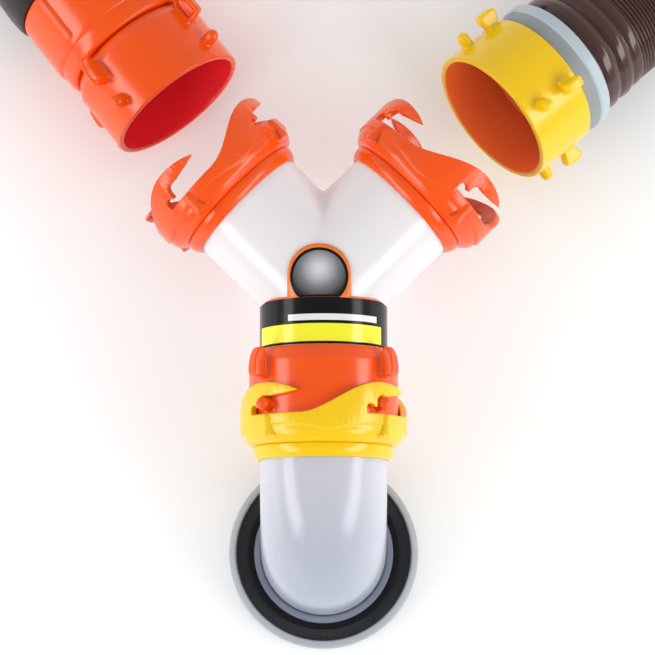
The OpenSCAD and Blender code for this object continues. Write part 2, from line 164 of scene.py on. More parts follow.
def mesh_from(name, verts, faces, place=None):
    """Mesh in metres from corners in mm, smooth except where faces meet sharply."""
    mesh = bpy.data.meshes.new(name)
    mesh.from_pydata([tuple(v) for v in verts], [], faces)
    matrix = Matrix.Scale(MM, 4) @ (place or Matrix.Identity(4))
    mesh.transform(matrix)
    mesh.update()
    smooth(mesh)
    return mesh


def smooth(mesh, angle=38):
    """Smooth shading, apart from edges sharper than that angle in degrees."""
    mesh.shade_smooth()
    mesh.set_sharp_from_angle(angle=math.radians(angle))


class Shape:
    """Corners in mm and faces of one piece, put together from several closed parts."""

    def __init__(self):
        self.verts = []
        self.faces = []

    def add(self, verts, faces, place=None):
        start = len(self.verts)
        for v in verts:
            self.verts.append(place @ Vector(v) if place else Vector(v))
        for f in faces:
            self.faces.append([start + i for i in f])
        return self

    def mesh(self, name, place=None):
        return mesh_from(name, self.verts, self.faces, place)


def around(r, a, z):
    """Corner at that radius, angle in radians and height."""
    return r * math.cos(a), r * math.sin(a), z


def rounded(profile, fillet):
    """The closed profile with each corner cut to a short arc of about that radius."""
    points = []
    count = len(profile)
    for i in range(count):
        before = Vector(profile[i - 1])
        corner = Vector(profile[i])
        after = Vector(profile[(i + 1) % count])
        a = before - corner
        b = after - corner
        if a.length < 1e-6 or b.length < 1e-6:
            continue
        reach = min(fillet, 0.45 * a.length, 0.45 * b.length)
        if abs(a.angle(b) - math.pi) < math.radians(8):
            points.append(corner)
            continue
        start = corner + a.normalized() * reach
        end = corner + b.normalized() * reach
        for k in range(5):
            t = k / 4
            points.append(start * (1 - t) ** 2 + corner * 2 * t * (1 - t) + end * t * t)
    return points


def lathe(profile, segments=128, fillet=0.7):
    """Corners and faces of a closed (r, z) profile turned about Z."""
    points = rounded(profile, fillet)
    if sum(points[i - 1][0] * points[i][1] - points[i][0] * points[i - 1][1]
           for i in range(len(points))) < 0:
        points.reverse()
    count = len(points)
    verts = []
    for k in range(segments):
        a = 2 * math.pi * k / segments
        verts += [around(p[0], a, p[1]) for p in points]
    faces = []
    for k in range(segments):
        for i in range(count):
            j = (i + 1) % count
            m = (k + 1) % segments
            faces.append([k * count + i, m * count + i, m * count + j, k * count + j])
    return verts, faces


def band_faces(count, segments, closed=False):
    """Faces that join that many rings of corners, each one with the next."""
    faces = []
    for i in range(count if closed else count - 1):
        n = (i + 1) % count
        for k in range(segments):
            m = (k + 1) % segments
            faces.append([i * segments + k, i * segments + m, n * segments + m,
                          n * segments + k])
    return faces


def rings(stations, segments, side=None):
    """Closed shell through rings given as (centre, tangent, radius), which start level or at
    that side."""
    verts = []
    for centre, tangent, radius in stations:
        t = Vector(tangent).normalized()
        across = Vector(side) if side else t.cross(Vector((0, 0, 1))).normalized()
        up = across.cross(t)
        for k in range(segments):
            a = 2 * math.pi * k / segments
            verts.append(Vector(centre) + radius * (across * math.cos(a) + up * math.sin(a)))
    return verts, band_faces(len(stations), segments, closed=True)


PINHOLE = 0.02


def spun(profile, segments):
    """Open (r, z) profile turned about Z, with a pinhole where it meets the axis."""
    verts = []
    for r, z in profile:
        for k in range(segments):
            a = 2 * math.pi * k / segments
            verts.append(around(max(r, PINHOLE), a, z))
    return verts, band_faces(len(profile), segments)


def dome(radius, height, base_flare, segments=24):
    """A pin along Z: a flared foot, a straight shank and a round end."""
    profile = [(radius + base_flare, 0), (radius + base_flare * 0.35, base_flare * 0.4),
               (radius, base_flare)]
    for k in range(7):
        a = math.radians(90 * k / 6)
        profile.append((radius * math.cos(a), height - radius + radius * math.sin(a)))
    return spun(profile, segments)


def capsule(radius, length, segments=20):
    """A bar along Z with round ends, from z = 0 to z = length."""
    profile = [(radius * math.sin(math.radians(a)), radius - radius * math.cos(math.radians(a)))
               for a in range(0, 91, 15)]
    profile += [(r, length - z) for r, z in reversed(profile)]
    return spun(profile, segments)


def taken_apart(bm, unit=1.0):
    """Corners, in that unit, and faces of a bmesh, which is freed."""
    bm.verts.index_update()
    verts = [v.co / unit for v in bm.verts]
    faces = [[v.index for v in f.verts] for f in bm.faces]
    bm.free()
    return verts, faces


def plate(outline, thickness, bevel):
    """Corners and faces of a flat outline in X and Y, thick along Z, with round edges."""
    bm = bmesh.new()
    low = [bm.verts.new((x, y, -thickness / 2)) for x, y in outline]
    face = bm.faces.new(low)
    grown = bmesh.ops.extrude_face_region(bm, geom=[face])
    top = [g for g in grown["geom"] if isinstance(g, bmesh.types.BMVert)]
    bmesh.ops.translate(bm, verts=top, vec=(0, 0, thickness))
    bmesh.ops.recalc_face_normals(bm, faces=bm.faces)
    bmesh.ops.bevel(bm, geom=list(bm.edges), offset=bevel, segments=3, profile=0.5,
                    affect="EDGES", clamp_overlap=True)
    return taken_apart(bm)


def evaluated(obj):
    """The mesh that an object's modifiers give; the object goes."""
    graph = bpy.context.evaluated_depsgraph_get()
    out = bpy.data.meshes.new_from_object(obj.evaluated_get(graph))
    bpy.data.objects.remove(obj)
    out.shade_smooth()
    return out


def softened(mesh, voxel, passes):
    """The mesh as one skin with moulded, softened edges."""
    obj = new_object("soften", mesh)
    remesh = obj.modifiers.new("skin", "REMESH")
    remesh.mode = "VOXEL"
    remesh.voxel_size = voxel * MM
    relax = obj.modifiers.new("relax", "SMOOTH")
    relax.factor = 0.5
    relax.iterations = passes
    return evaluated(obj)


def thinned(mesh, keep):
    """The mesh with that share of its faces, and without slivers."""
    obj = new_object("thin", mesh)
    obj.modifiers.new("thin", "DECIMATE").ratio = keep
    out = evaluated(obj)
    work = bmesh.new()
    work.from_mesh(out)
    bmesh.ops.dissolve_degenerate(work, dist=0.05 * MM, edges=work.edges)
    bmesh.ops.triangulate(work, faces=[f for f in work.faces if len(f.verts) > 4])
    work.to_mesh(out)
    work.free()
    return out


def painted(mesh, above, within):
    """The mesh with its second material above that height and within that radius, in mm."""
    for face in mesh.polygons:
        spot = face.center / MM
        face.material_index = int(spot.z > above and spot.xy.length < within)
    return mesh


def piece(name, mesh, mat, body, replaces=(), more_materials=()):
    """A finished piece: its materials, the body it rides on and the CAD it stands for."""
    mesh.name = name
    obj = new_object(name, mesh)
    if not mesh.materials:
        for m in (mat, *more_materials):
            mesh.materials.append(m)
    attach(obj, body)
    if replaces:
        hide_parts(*replaces)
    return obj


# ---------------------------------------------------------------- camera

TARGET = Vector((2.5, 141, 91)) * MM
DISTANCE = 1.660
ELEVATION = math.radians(82.6)
LENS = 142.9
SENSOR = 36.0

camera_data = bpy.data.cameras.new("camera")
camera_data.lens = LENS
camera_data.sensor_width = SENSOR
camera_data.clip_end = 20
camera = bpy.data.objects.new("camera", camera_data)
camera.location = TARGET + DISTANCE * Vector((0, -math.cos(ELEVATION), math.sin(ELEVATION)))
camera.rotation_euler = (math.pi / 2 - ELEVATION, 0, 0)
bpy.context.scene.collection.objects.link(camera)
bpy.context.scene.camera = camera


# ---------------------------------------------------------------- materials

def link_nodes(tree, *pairs):
    """Links each pair of an output and an input."""
    for a, b in pairs:
        tree.links.new(a, b)


def noise(tree, coords, scale, detail=3.0, roughness=0.55):
    """Noise from about 0.3 to 0.7, with that many waves in a metre."""
    node = tree.nodes.new("ShaderNodeTexNoise")
    node.inputs["Scale"].default_value = scale
    node.inputs["Detail"].default_value = detail
    node.inputs["Roughness"].default_value = roughness
    tree.links.new(coords, node.inputs["Vector"])
    return node.outputs["Fac"]


def spread(tree, value, low, high, from_low=0.3, from_high=0.7):
    """The value spread from one range, that of noise by default, over another."""
    node = tree.nodes.new("ShaderNodeMapRange")
    node.inputs["From Min"].default_value = from_low
    node.inputs["From Max"].default_value = from_high
    node.inputs["To Min"].default_value = low
    node.inputs["To Max"].default_value = high
    tree.links.new(value, node.inputs["Value"])
    return node.outputs["Result"]


def blend_colours(tree, factor, a, b):
    """Colour between a and b, each a tuple or an output."""
    node = tree.nodes.new("ShaderNodeMix")
    node.data_type = "RGBA"
    for socket, value in (("A", a), ("B", b)):
        slot = [s for s in node.inputs if s.name == socket and s.type == "RGBA"][0]
        if isinstance(value, tuple):
            slot.default_value = (*value, 1)
        else:
            tree.links.new(value, slot)
    factor_in = [s for s in node.inputs if s.name == "Factor" and s.type == "VALUE"][0]
    tree.links.new(factor, factor_in)
    return [s for s in node.outputs if s.type == "RGBA"][0]


def computed(tree, operation, *values):
    """The output of a math node on one value or two."""
    node = tree.nodes.new("ShaderNodeMath")
    node.operation = operation
    link_nodes(tree, *zip(values, node.inputs))
    return node.outputs[0]


def openness(tree, distance, samples):
    """How open a spot is to its surroundings within that distance, from 0 to 1."""
    node = tree.nodes.new("ShaderNodeAmbientOcclusion")
    node.samples = samples
    node.inputs["Distance"].default_value = distance
    return node.outputs["AO"]


def bumped(tree, shader, height, strength, distance):
    """Gives a shader fine bumps of that height."""
    bump = tree.nodes.new("ShaderNodeBump")
    bump.inputs["Strength"].default_value = strength
    bump.inputs["Distance"].default_value = distance
    link_nodes(tree, (height, bump.inputs["Height"]),
               (bump.outputs["Normal"], shader.inputs["Normal"]))


def shade(colour, by):
    """The colour made lighter or darker by that factor."""
    return tuple(min(1.0, max(0.0, c * by)) for c in colour)


def material(name):
    """A new node material as (material, tree, shader, object coordinates)."""
    mat = bpy.data.materials.new(name)
    mat.use_nodes = True
    tree = mat.node_tree
    tree.nodes.clear()
    shader = tree.nodes.new("ShaderNodeBsdfPrincipled")
    output = tree.nodes.new("ShaderNodeOutputMaterial")
    tree.links.new(shader.outputs["BSDF"], output.inputs["Surface"])
    coords = tree.nodes.new("ShaderNodeTexCoord").outputs["Object"]
    return mat, tree, shader, coords


def moulded(name, colour, rough, cloud=0.05, grain=0.05, edge=0.04, ior=1.5, vary=0.09):
    """Moulded plastic: faint clouding, a fine skin, and worn, paler edges."""
    mat, tree, shader, coords = material(name)
    clouds = noise(tree, coords, 38)
    base = blend_colours(tree, clouds, shade(colour, 1 - cloud), shade(colour, 1 + cloud))
    geometry = tree.nodes.new("ShaderNodeNewGeometry")
    scuff = noise(tree, coords, 260, 4)
    edges = spread(tree, geometry.outputs["Pointiness"], 0.0, 1.0, 0.52, 0.60)
    worn = computed(tree, "MULTIPLY", edges, scuff)
    pale = tuple(c + (1 - c) * edge for c in colour)
    final = blend_colours(tree, worn, base, pale)
    tree.links.new(final, shader.inputs["Base Color"])
    tree.links.new(spread(tree, scuff, rough - vary / 3, rough + vary * 2 / 3),
                   shader.inputs["Roughness"])
    bumped(tree, shader, noise(tree, coords, 1400, 2), grain, 0.0002)
    shader.inputs["IOR"].default_value = ior
    return mat, tree, shader


def gloss_plastic(name, colour, rough=0.22, subsurface=0.0, **extra):
    """Moulded plastic or rubber, with some light scattered under its skin."""
    mat, tree, shader = moulded(name, colour, rough, **extra)
    shader.inputs["Subsurface Weight"].default_value = subsurface
    shader.inputs["Subsurface Radius"].default_value = (1.0, 0.5, 0.3)
    shader.inputs["Subsurface Scale"].default_value = 0.003
    return mat


def milky(name, colour, line=True):
    """Translucent natural plastic, with painted shade where it lies over the black adapter, and a
    faint line along x = 0.
    """
    mat, tree, shader, coords = material(name)
    clouds = noise(tree, coords, 14, 3)
    base = blend_colours(tree, clouds, shade(colour, 0.975), shade(colour, 1.025))
    split = tree.nodes.new("ShaderNodeSeparateXYZ")
    tree.links.new(coords, split.inputs[0])
    # Painted shade: darker where the plastic is over the adapter, at small y.
    painted_shade_over_adapter = tuple(c * share for c, share in zip(colour, (0.68, 0.73, 0.76)))
    base = blend_colours(tree, spread(tree, split.outputs["Y"], 0, 1, -0.030, 0.045),
                         painted_shade_over_adapter, base)
    tree.links.new(base, shader.inputs["Base Color"])
    flow = noise(tree, coords, 60, 2)
    tree.links.new(spread(tree, flow, 0.17, 0.23), shader.inputs["Roughness"])
    shader.inputs["IOR"].default_value = 1.5
    shader.inputs["Subsurface Weight"].default_value = 1.0
    shader.inputs["Subsurface Radius"].default_value = (1.0, 0.97, 1.0)
    shader.inputs["Subsurface Scale"].default_value = 0.006
    height = noise(tree, coords, 30, 1)
    if line:
        from_middle = computed(tree, "ABSOLUTE", split.outputs["X"])
        seam = spread(tree, from_middle, 1.6, 0.0, 0.0001, 0.0006)
        height = computed(tree, "ADD", height, seam)
    bumped(tree, shader, height, 0.08, 0.0004)
    return mat


def glowing(name, colour, glow):
    """Inside of a thin coloured wall: a painted glow for the light that comes through it, fading
    into painted shade with depth.
    """
    mat, tree, shader = moulded(name, colour, 0.30, edge=0.0)
    shader.inputs["Emission Color"].default_value = (*glow, 1)
    tree.links.new(spread(tree, openness(tree, 0.09, 8), 0.25, 1.5, 0.12, 0.62),
                   shader.inputs["Emission Strength"])
    return mat


ORANGE = gloss_plastic("orange_plastic", (0.98, 0.094, 0.001), 0.20, 0.10)
# Bore colours: a deeper red than the plastic outside, as painted shade, plus a painted glow.
ORANGE_BORE_PAINTED_GLOW = glowing("orange_bore_painted_glow", (0.90, 0.026, 0.030), (0.09, 0.002, 0.004))
YELLOW = gloss_plastic("yellow_plastic", (0.99, 0.62, 0.001), 0.20, 0.10)
YELLOW_BORE_PAINTED_GLOW = glowing("yellow_bore_painted_glow", (0.82, 0.14, 0.026), (0.18, 0.030, 0.008))
# The elbow's copy of the milky plastic is darker and bluer than the wye's: painted shade for its
# dark hollow.
MILK_ELBOW_SHADED = milky("milky_plastic", (0.66, 0.665, 0.745))
MILK_WYE = milky("milky_plastic_wye", (0.93, 0.895, 0.95), line=False)
BLACK = gloss_plastic("black_plastic", (0.036, 0.040, 0.045), 0.34, grain=0.12)
# Near-black hub wall: painted shade in the groove inside the channel.
BLACK_HUB_PAINTED_SHADE = gloss_plastic("black_hub_painted_shade", (0.004, 0.004, 0.004), 0.5, grain=0.12, edge=0.0, ior=1.3)
GREY = gloss_plastic("grey_plastic", (0.50, 0.59, 0.64), 0.40, grain=0.10)
# Darker grey for the ring's front face: painted shade.
GREY_FACE_PAINTED_SHADE = gloss_plastic("grey_face_painted_shade", (0.31, 0.34, 0.35), 0.46, grain=0.12)
SLATE = gloss_plastic("slate_plastic", (0.22, 0.25, 0.33), 0.32)
GREY_RUBBER = gloss_plastic("grey_rubber", (0.38, 0.41, 0.43), 0.42, grain=0.15, ior=1.45)
RUBBER = gloss_plastic("rubber_black", (0.02, 0.02, 0.02), 0.55, grain=0.25, ior=1.45)
BLACK_HOSE = gloss_plastic("black_hose", (0.014, 0.006, 0.005), 0.30, grain=0.15, edge=0.02,
                           ior=1.38)
BROWN_HOSE = gloss_plastic("brown_hose", (0.074, 0.032, 0.024), 0.15, grain=0.02, edge=0.02,
                            vary=0.02)


# ---------------------------------------------------------------- hoses (the cords)

def spline(points, step):
    """A smooth line through the points, resampled at that step, as an array in mm."""
    p = np.array(points, float)
    p = np.vstack([2 * p[0] - p[1], p, 2 * p[-1] - p[-2]])
    out = []
    for i in range(1, len(p) - 2):
        p0, p1, p2, p3 = p[i - 1:i + 3]
        t1 = np.linalg.norm(p1 - p0) ** 0.5
        t2 = t1 + np.linalg.norm(p2 - p1) ** 0.5
        t3 = t2 + np.linalg.norm(p3 - p2) ** 0.5
        for t in np.linspace(t1, t2, 24, endpoint=False):
            a1 = (t1 - t) / t1 * p0 + t / t1 * p1
            a2 = (t2 - t) / (t2 - t1) * p1 + (t - t1) / (t2 - t1) * p2
            a3 = (t3 - t) / (t3 - t2) * p2 + (t - t2) / (t3 - t2) * p3
            b1 = (t2 - t) / t2 * a1 + t / t2 * a2
            b2 = (t3 - t) / (t3 - t1) * a2 + (t - t1) / (t3 - t1) * a3
            out.append((t2 - t) / (t2 - t1) * b1 + (t - t1) / (t2 - t1) * b2)
    out.append(p[-2])
    out = np.array(out)
    walked = np.concatenate([[0], np.cumsum(np.linalg.norm(np.diff(out, axis=0), axis=1))])
    count = max(2, round(walked[-1] / step))
    at = np.linspace(0, walked[-1], count + 1)
    return np.stack([np.interp(at, walked, out[:, k]) for k in range(3)], axis=1), walked[-1]


PER_RIB = 6
RIB_DEPTH = 1.5
HOSE_WALL = 1.2
LEFT_HOSE_R = 43.0
LEFT_PITCH = 3.0
RIGHT_HOSE_R = 41.5
RIGHT_PITCH = 2.7


def corrugated(route, radius, pitch, segments=64):
    """A ribbed hose along the route with rounded crests, sharp valleys and a wall."""
    line, length = spline(route, pitch / PER_RIB)
    tangents = np.gradient(line, axis=0)
    stations = []
    for i, (centre, tangent) in enumerate(zip(line, tangents)):
        wave = abs(math.sin(math.pi * i / PER_RIB))
        stations.append((centre, tangent, radius - RIB_DEPTH * (1 - wave ** 0.8)))
    inner = [(c, t, radius - RIB_DEPTH - HOSE_WALL)
             for c, t in list(zip(line, tangents))[::-2 * PER_RIB]]
    return Shape().add(*rings(stations + inner, segments)), line, length


def hose(name, route, radius, pitch, mat, body, cad_node):
    """The piece of a hose, its centreline with a point at each rib, and its length, in m."""
    shape, line, length = corrugated(route, radius, pitch)
    obj = piece(name, shape.mesh(name), mat, body, [cad_node])
    obj.data.shade_smooth()
    path = [Vector(p) * MM for p in line[::PER_RIB]] + [Vector(line[-1]) * MM]
    return obj, path, length * MM


HIDDEN_RUN = 24.0
left_exit = LEFT_MOUTH + (LEFT_SLEEVE_BACK - HIDDEN_RUN) * run_dir(LEFT_HEADING, LEFT_SLOPE)
right_exit = RIGHT_MOUTH + RIGHT_CUFF_BACK * run_dir(RIGHT_HEADING, RIGHT_SLOPE)
left_hose, left_path, left_length = hose(
    "left_hose_corrugated", [left_exit, *LEFT_ROUTE], LEFT_HOSE_R, LEFT_PITCH, BLACK_HOSE,
    "left_hose", "left_hose_tube")
right_hose, right_path, right_length = hose(
    "right_hose_corrugated", [right_exit, *RIGHT_ROUTE], RIGHT_HOSE_R, RIGHT_PITCH, BROWN_HOSE,
    "right_hose", "right_hose_tube")


# ---------------------------------------------------------------- collars

CLAW_ROOT = -14.0
CLAW_PEAK = 43.5
CLAW_TIP = 71.0
CLAW_H = 19.5
SLOT_END = 31.0
TOOTH_AT = 34.2
TOOTH_END = 37.5
THROAT_END = 39.6
POCKET_AT = 45.0
POCKET_END = 45.3
POCKET_CLEAR_R = 5.0
FINGER_AT = 50.4
NOSE_AT = 62.0
NOSE_TAPER = 0.62
DEG_MM = (COLLAR_R - 2.5) * math.pi / 180
DIP_AT = 3.0
CREASE = -6.8
CREASE_DIP = 3.6


def claw_top(q):
    """Height of a claw's upper edge at angle q, in mm above the collar's front edge."""
    if q < CLAW_PEAK:
        s = max(0.0, q - CLAW_ROOT) / (CLAW_PEAK - CLAW_ROOT)
        return CLAW_H * (1 - math.cos(math.pi * s ** 0.85)) / 2
    return CLAW_H - 0.0066 * (q - CLAW_PEAK) ** 2


def claw_low(q):
    """Height of a claw's lower edge: relief slot, tooth, pin pocket, then the finger."""
    if q < SLOT_END:
        return -4.0
    if q < TOOTH_END:
        return 3.2 + math.sqrt(max(0, 5 - ((q - TOOTH_AT) * DEG_MM * 0.75) ** 2))
    if q < THROAT_END:
        return 3.6
    if q < POCKET_END:
        return 6 + math.sqrt(max(0, POCKET_CLEAR_R ** 2 - ((q - POCKET_AT) * DEG_MM) ** 2))
    return 10.7 + max(0, q - FINGER_AT) * 0.11


def claw():
    """One claw as a curved plate in columns, with a tapered, pointed finger."""
    steps = [CLAW_ROOT + 0.75 * i for i in range(60)]
    for edge in (SLOT_END, TOOTH_END, THROAT_END):
        steps += [edge - 0.1, edge + 0.1]
    steps += [SLOT_END + 0.5 + 0.6 * i for i in range(32)]
    steps += [FINGER_AT + 0.9 * i for i in range(23)]
    steps = sorted(set(round(q, 3) for q in steps if q <= CLAW_TIP - 0.1)) + [CLAW_TIP]
    verts = []
    for q in steps:
        a = math.radians(q)
        top = max(claw_top(q), -3)
        low = min(claw_low(q), top - 0.5)
        nose = max(0.0, (q - NOSE_AT) / (CLAW_TIP - NOSE_AT))
        middle = top - 0.42 * (top - low)
        top += (middle - top) * nose ** 2 * NOSE_TAPER
        low += (middle - low) * nose ** 2 * NOSE_TAPER
        for r, z in ((SOCKET_R + 0.3, low), (COLLAR_R, low), (COLLAR_R, top),
                     (SOCKET_R + 0.3, top)):
            verts.append(around(r, a, z))
    faces = []
    for i in range(len(steps) - 1):
        for k in range(4):
            m = (k + 1) % 4
            faces.append([4 * i + k, 4 * i + m, 4 * i + 4 + m, 4 * i + 4 + k])
    end = 4 * (len(steps) - 1)
    faces += [[3, 2, 1, 0], [end, end + 1, end + 2, end + 3]]
    return verts, [f[::-1] for f in faces]


def front_band():
    """Front part of the band, whose wavy foot shows as a soft crease between the ribs."""
    count = 240
    verts = []
    for k in range(count):
        a = 2 * math.pi * k / count
        dip = (math.degrees(a) - DIP_AT + 45) % 90 - 45
        low = CREASE - CREASE_DIP * math.exp(-(dip / 17) ** 2)
        for r, z in ((COLLAR_R - 3, low), (COLLAR_R, low), (COLLAR_R, -0.9),
                     (COLLAR_R - 0.8, -0.1), (COLLAR_R - 3, -0.1)):
            verts.append(around(r, a, z))
    faces = []
    for i in range(count):
        n = (i + 1) % count
        for k in range(5):
            m = (k + 1) % 5
            faces.append([5 * i + k, 5 * n + k, 5 * n + m, 5 * i + m])
    return verts, faces


def corners_of(mesh):
    """The corners of a mesh as an array with one row each."""
    points = np.zeros(len(mesh.vertices) * 3)
    mesh.vertices.foreach_get("co", points)
    return points.reshape(-1, 3)


TRUE_REACH = 0.26
TRUE_FADE = 0.12


def trued(mesh, *radii):
    """Skin that lies close to one of those radii about Z is drawn exactly onto it."""
    points = corners_of(mesh)
    for radius in radii:
        away = np.hypot(points[:, 0], points[:, 1])
        off = np.abs(away - radius * MM) / MM
        share = np.clip((TRUE_REACH - off) / TRUE_FADE, 0, 1)
        scale = 1 + share * (radius * MM / away - 1)
        points[:, 0] *= scale
        points[:, 1] *= scale
    mesh.vertices.foreach_set("co", points.ravel())
    mesh.update()
    return mesh


def collar_mesh(voxel, keep):
    """Bayonet collar with z = 0 at its front edge: band, web, four claws, thumb ribs."""
    shape = Shape()
    shape.add(*lathe([
        (TUBE_R + 0.5, -18.5), (44.3, -18.5), (47.9, -16.6), (50.2, -14.0), (51.4, -11.4),
        (51.8, -8), (51.8, -1), (COLLAR_R - 2, 0), (SOCKET_R + 0.6, 0), (SOCKET_R, -0.6),
        (SOCKET_R, -7.8), (POCKET_R, -7.8), (POCKET_R, -14.5), (TUBE_R + 0.5, -14.5)],
        fillet=0.3))
    shape.add(*front_band())
    foot = plate([(-2.6, -5.2), (1.9, -4.3), (1.9, 4.3), (-2.6, 5.2)], 2.8, 0.3)
    skirt = plate([(-2.6, -4.2), (1.9, -3.7), (1.9, 3.7), (-2.6, 4.2)], 3.0, 0.3)
    bar = lathe([(0.2, -15), (3.3, -15), (3.1, -3), (2.2, -1.2), (0.2, -0.6)], 24, 0.4)
    for k in range(4):
        spin = turn(90 * k, "Z")
        shape.add(*claw(), spin)
        rib = spin @ turn(48, "Z") @ Matrix.Translation((COLLAR_R - 0.8, 0, 0))
        shape.add(*bar, rib)
        shape.add(*foot, rib @ Matrix.Translation((0, 0, -14.4)))
        shape.add(*skirt, rib @ Matrix.Translation((0, 0, -12.2)))
    skin = trued(softened(shape.mesh("collar_source"), voxel, 7), COLLAR_R, SOCKET_R)
    return thinned(skin, keep)


def placed(mesh, place):
    """A copy of a mesh in metres, moved by a place given in mm."""
    out = mesh.copy()
    moved = place.copy()
    moved.translation = place.translation * MM
    out.transform(moved)
    out.update()
    return out


COLLAR = collar_mesh(0.6, 0.55)
TAIL_COLLAR_MESH = collar_mesh(0.9, 0.6)

collars = {
    "elbow_collar": (COLLAR, along_y(ELBOW_COLLAR_Y) @ turn(-90, "Z"), YELLOW, "yellow_plastic"),
    "left_arm_collar": (COLLAR, along_arm(-1, ARM_COLLAR) @ turn(LEFT_ARM_PHASE, "Z"),
                        ORANGE, "orange_plastic"),
    "right_arm_collar": (COLLAR, along_arm(1, ARM_COLLAR) @ turn(RIGHT_ARM_PHASE, "Z"),
                         ORANGE, "orange_plastic"),
    "left_tail_collar": (TAIL_COLLAR_MESH, at_tail(LEFT_TAIL, TAIL_COLLAR), ORANGE,
                         "orange_plastic"),
    "right_tail_collar": (TAIL_COLLAR_MESH, at_tail(RIGHT_TAIL, TAIL_COLLAR), YELLOW,
                          "yellow_plastic"),
}
collar_pieces = {
    name: piece(f"{name}_moulded", placed(mesh, place), mat, name, [name])
    for name, (mesh, place, mat, slot) in collars.items()
}


# ---------------------------------------------------------------- retainers

RETAINER = [(TUBE_R + SEAT_GAP, -27), (41.6, -27), (43.8, -24.4), (44.9, -21.6),
            (44.9, -19.0), (44.5, -18.5), (TUBE_R + SEAT_GAP, -18.5)]


def retainer(name, place, mat, body):
    """The band behind a collar, placed by the collar's front edge."""
    shape = Shape().add(*lathe(RETAINER, fillet=0.8))
    return piece(f"{name}_band", shape.mesh(name, place), mat, body, [name])


retainer("elbow_retainer", along_y(ELBOW_COLLAR_Y), YELLOW, "elbow")
retainer("left_arm_retainer", along_arm(-1, ARM_COLLAR), ORANGE, "wye")
retainer("right_arm_retainer", along_arm(1, ARM_COLLAR), ORANGE, "wye")
left_tail_retainer = retainer("left_tail_retainer", at_tail(LEFT_TAIL, TAIL_COLLAR), ORANGE,
                              "left_hose")
right_tail_retainer = retainer("right_tail_retainer", at_tail(RIGHT_TAIL, TAIL_COLLAR), YELLOW,
                               "right_hose")


# ---------------------------------------------------------------- lug fittings

def bar_between(a, b, radius):
    """Round-ended bar from one point to another."""
    along = Vector(b) - Vector(a)
    verts, faces = capsule(radius, along.length + 2 * radius, 12)
    place = (Matrix.Translation(a)
             @ Vector((0, 0, 1)).rotation_difference(along).to_matrix().to_4x4()
             @ Matrix.Translation((0, 0, -radius)))
    return [place @ Vector(v) for v in verts], faces


TAB_ROOT = 46
FAN_TAB = [(TAB_ROOT, -31), (50, -29.8), (54, -28), (WING_R - 2, -27.6), (WING_R, -29.4),
           (WING_R + 0.4, -35), (WING_R, -40.4), (WING_R - 2, -42.4), (54, -41.6),
           (50, -39.8), (TAB_ROOT, -38.6)]
PETAL_TAB = [(TAB_ROOT, -30.4), (56.6, -30.4), (WING_R - 0.6, -31.4), (WING_R, -33.5),
             (WING_R - 0.4, -39), (57.4, -44), (55, -48), (52.8, -49.4), (51.2, -48.4),
             (TAB_ROOT, -42.4)]
TAB_T = 7.0
TAB_RIM = 1.7
TAB_POCKET = 2.4
TAB_FILLET = 1.4
INSIDE_R = BARREL_BORE + 0.25


def wing_tab(outline, pocket):
    """Tab in X and Z with a fillet at its root, solid or with a rimmed pocket in one face."""
    shape = Shape()
    if pocket:
        web, faces = plate(outline, TAB_T - TAB_POCKET, 1.0)
        shape.add([(x, y, z + TAB_POCKET / 2) for x, y, z in web], faces)
        inset = [(x - 0.8 if x > 50 else x, y) for x, y in outline]
        for a, b in zip(inset, inset[1:]):
            low = TAB_RIM - TAB_T / 2
            shape.add(*bar_between((*a, low), (*b, low), TAB_RIM))
    else:
        shape.add(*plate(outline, TAB_T, 2.0))
    root = [y for x, y in outline if x == TAB_ROOT]
    half = TAB_T / 2 + TAB_FILLET
    fillet, faces = plate([(45.4, -half), (48.0, -half), (49.2, 0.8 - half),
                           (49.2, half - 0.8), (48.0, half), (45.4, half)],
                          root[0] - root[1] + 1, 0.5)
    middle = (root[0] + root[1]) / 2
    shape.add([(x, middle + z, y) for x, y, z in fillet], [f[::-1] for f in faces])
    return shape


def lug_fitting(stepped, outline, pocket=False, lean=0.0):
    """Lug fitting with z = 0 at its mouth: barrel, four domed pins and four wing tabs."""
    if stepped:
        back = [(43.7, -LUG_BACK), (43.7, -44.6), (46.8, -44.4), (BARREL_R, -43.2)]
    else:
        back = [(42.8, -LUG_BACK), (43.8, -49.2), (46.4, -44), (BARREL_R, -42)]
    shape = Shape()
    shape.add(*lathe([
        (NECK_BORE, -LUG_BACK), *back, (BARREL_R, 0), (BARREL_BORE, 0),
        (BARREL_BORE, -LUG_POCKET_FRONT), (LUG_POCKET_R, -LUG_POCKET_FRONT),
        (LUG_POCKET_R, -LUG_POCKET_BACK), (NECK_BORE, -LUG_POCKET_BACK)], 160, 1.3))
    tab = wing_tab(outline, pocket)
    pin = dome(PIN_R, PIN_H, 1.6)
    for k in range(4):
        spin = turn(45 + 90 * k, "Z")
        shape.add(*pin, spin @ Matrix.Translation((BARREL_R - 0.9, 0, -PIN_SETBACK))
                  @ turn(90, "Y"))
        shape.add(tab.verts, tab.faces,
                  spin @ turn(-lean if k % 2 else lean, "Z") @ turn(90, "X"))
    skin = trued(softened(shape.mesh("lug_source"), 0.6, 5), BARREL_R, BARREL_BORE)
    # The bore in front of the pocket gets the second material, with its painted glow and painted
    # shade.
    return painted(trued(thinned(skin, 0.5), BARREL_R, BARREL_BORE),
                   above=-LUG_POCKET_FRONT - 0.2, within=INSIDE_R)


